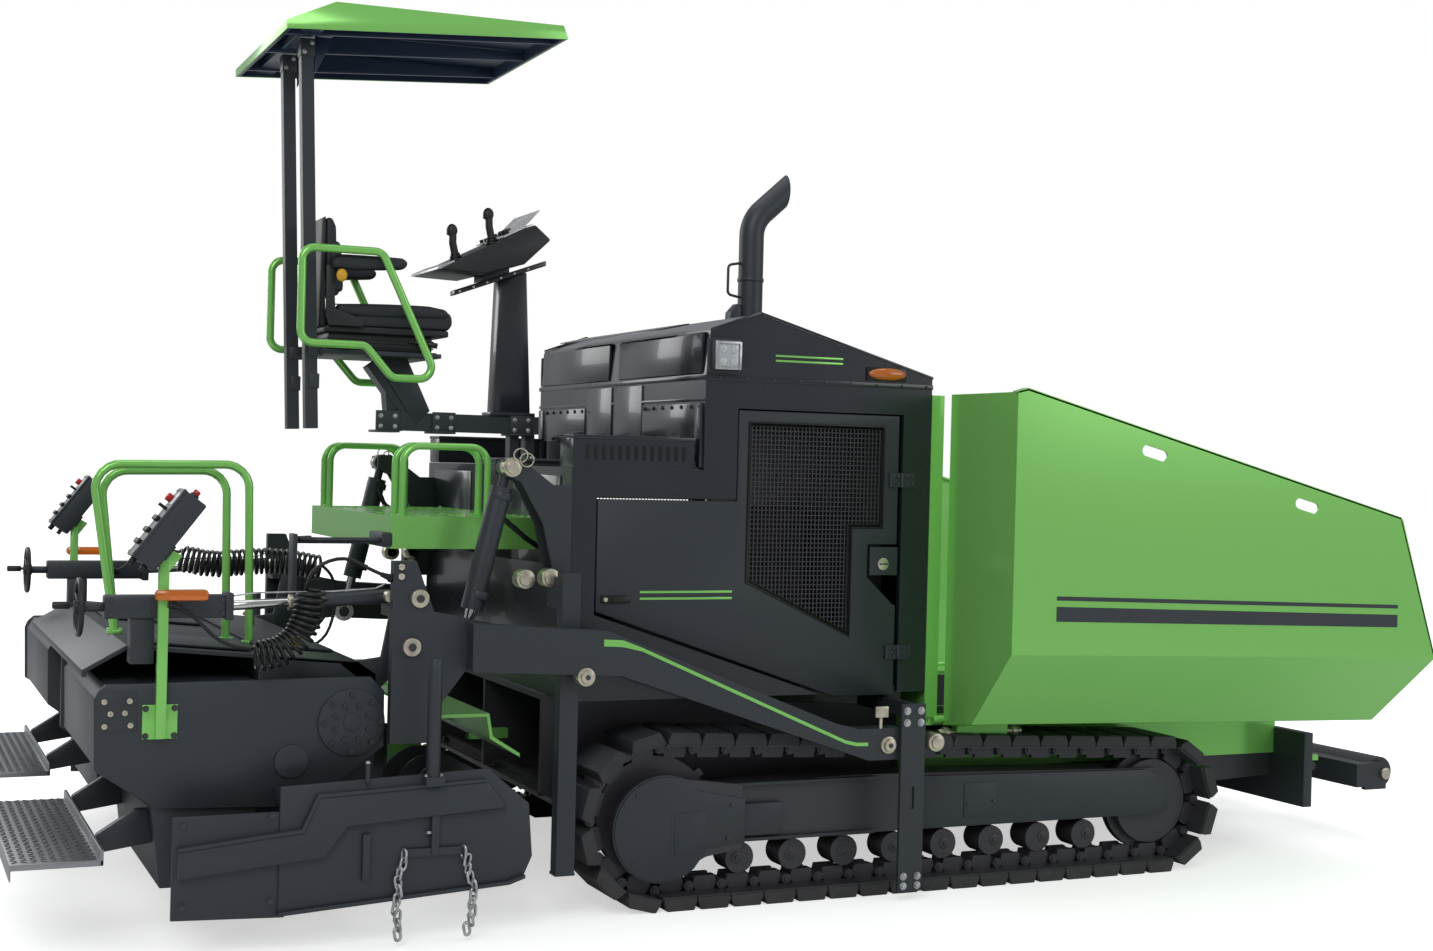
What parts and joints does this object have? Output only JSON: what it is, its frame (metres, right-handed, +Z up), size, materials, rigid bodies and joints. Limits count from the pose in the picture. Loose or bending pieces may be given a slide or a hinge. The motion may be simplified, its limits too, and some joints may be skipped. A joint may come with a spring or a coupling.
{
  "type": "asphalt paver",
  "caption": "Tracked asphalt paver with folding hopper wings, conveyor tunnel, augers, extending floating screed on levelling arms, engine housing and raised operator seat under a canopy.",
  "frame": {"origin": "on the ground, on the machine centre line, about the middle of its length", "axes": "+X forward to the hopper, +Y to the left of the machine, +Z up"},
  "size_m": [6.3, 3.578, 3.595],
  "materials": {
    "green_paint": "gloss",
    "black_paint": "semi-gloss",
    "dark_steel": "satin",
    "track_pads": "matte",
    "chrome_rod": "polished",
    "black_plastic": "matte",
    "seat_cover": "matte",
    "tread_plate": "rough"
  },
  "bodies": {
    "root": {"hand_rails": "green_paint", "step_platform": "green_paint", "auger_frame": "green_paint", "chassis": "black_paint", "conveyor_floor": "black_paint", "tunnel_cover": "black_paint", "engine_housing": "black_paint", "roof": "black_paint", "tool_trays": "black_paint", "station_frame": "black_paint", "console_column": "black_paint", "console": "black_paint", "lift_brackets": "black_paint", "arm_guides": "black_paint", "track_frame_right": "black_paint", "track_frame_left": "black_paint", "push_beam": "black_paint", "hopper_frame": "black_paint", "exhaust_stack": "black_paint", "engine": "black_paint", "radiator": "black_paint", "sprockets": "dark_steel", "idlers_and_rollers": "dark_steel", "conveyor_chains": "dark_steel", "track_right": "track_pads", "track_left": "track_pads", "seat_base": "black_plastic", "seat_cushion": "seat_cover", "seat_back": "seat_cover"},
    "side_door_right": {"side_door_right": "black_paint", "door_grille_right": "black_paint"},
    "hopper_wing_right": {"hopper_wing_right": "green_paint"},
    "push_roller_right": {"push_roller_right": "dark_steel"},
    "auger_right": {"auger_right": "dark_steel"},
    "extension_right": {"screed_extension_right": "black_paint", "end_gate_right": "black_paint", "control_post_right": "green_paint"},
    "lift_barrel_right": {"lift_barrel_right": "black_paint"},
    "lift_rod_right": {"lift_rod_right": "chrome_rod"},
    "side_door_left": {"side_door_left": "black_paint", "door_grille_left": "black_paint"},
    "hopper_wing_left": {"hopper_wing_left": "green_paint"},
    "push_roller_left": {"push_roller_left": "dark_steel"},
    "auger_left": {"auger_left": "dark_steel"},
    "extension_left": {"screed_extension_left": "black_paint", "end_gate_left": "black_paint", "control_post_left": "green_paint"},
    "lift_barrel_left": {"lift_barrel_left": "black_paint"},
    "lift_rod_left": {"lift_rod_left": "chrome_rod"},
    "canopy": {"canopy_posts": "black_paint", "canopy": "green_paint"},
    "screed": {"level_arm_right": "black_paint", "level_arm_left": "black_paint", "screed": "black_paint", "walkways": "tread_plate", "thickness_screws": "black_paint", "guard_hoops": "green_paint"}
  },
  "joints": [
    {"name": "screed_lift", "type": "hinge", "parent": "root", "child": "screed", "pos_m": [0.177, 0, 0.632], "axis": [0, 1, 0], "range_deg": [-2.2, 2.5]},
    {"name": "door_right", "type": "hinge", "parent": "root", "child": "side_door_right", "pos_m": [0.35, -1.011, 1.4], "axis": [0, 0, 1], "range_deg": [0, 105]},
    {"name": "wing_fold_right", "type": "hinge", "parent": "root", "child": "hopper_wing_right", "pos_m": [1.5, -1.02, 0.69], "axis": [-1, 0, 0], "range_deg": [0, 40]},
    {"name": "roller_spin_right", "type": "hinge", "parent": "root", "child": "push_roller_right", "pos_m": [3.075, -0.5, 0.345], "axis": [0, 1, 0], "continuous": true},
    {"name": "auger_spin_right", "type": "hinge", "parent": "root", "child": "auger_right", "pos_m": [-1.48, -0.5, 0.4], "axis": [0, 1, 0], "continuous": true},
    {"name": "extension_slide_right", "type": "slide", "parent": "screed", "child": "extension_right", "axis": [0, -1, 0], "range_m": [0, 0.65]},
    {"name": "lift_pivot_right", "type": "hinge", "parent": "root", "child": "lift_barrel_right", "pos_m": [-1.363, -0.95, 1.716], "axis": [0, 1, 0], "range_deg": [-2, 2]},
    {"name": "lift_stroke_right", "type": "slide", "parent": "lift_barrel_right", "child": "lift_rod_right", "axis": [-0.2302, 0, -0.9731], "range_m": [-0.09, 0.08]},
    {"name": "door_left", "type": "hinge", "parent": "root", "child": "side_door_left", "pos_m": [0.35, 1.011, 1.4], "axis": [0, 0, -1], "range_deg": [0, 105]},
    {"name": "wing_fold_left", "type": "hinge", "parent": "root", "child": "hopper_wing_left", "pos_m": [1.5, 1.02, 0.69], "axis": [1, 0, 0], "range_deg": [0, 40]},
    {"name": "roller_spin_left", "type": "hinge", "parent": "root", "child": "push_roller_left", "pos_m": [3.075, 0.5, 0.345], "axis": [0, 1, 0], "continuous": true},
    {"name": "auger_spin_left", "type": "hinge", "parent": "root", "child": "auger_left", "pos_m": [-1.48, 0.5, 0.4], "axis": [0, 1, 0], "continuous": true},
    {"name": "extension_slide_left", "type": "slide", "parent": "screed", "child": "extension_left", "axis": [0, 1, 0], "range_m": [-0.65, 0]},
    {"name": "lift_pivot_left", "type": "hinge", "parent": "root", "child": "lift_barrel_left", "pos_m": [-1.363, 0.95, 1.716], "axis": [0, 1, 0], "range_deg": [-2, 2]},
    {"name": "lift_stroke_left", "type": "slide", "parent": "lift_barrel_left", "child": "lift_rod_left", "axis": [-0.2302, 0, -0.9731], "range_m": [-0.09, 0.08]},
    {"name": "canopy_slide", "type": "slide", "parent": "root", "child": "canopy", "axis": [-0.0355, 0, 0.9994], "range_m": [-0.6, 0]}
  ],
  "couplings": [
    {"joint": "lift_pivot_right", "follows": "screed_lift", "ratio": 0.03458},
    {"joint": "lift_stroke_right", "follows": "screed_lift", "m_per_rad": -1.7482},
    {"joint": "lift_pivot_left", "follows": "screed_lift", "ratio": 0.03458},
    {"joint": "lift_stroke_left", "follows": "screed_lift", "m_per_rad": -1.7482}
  ]
}
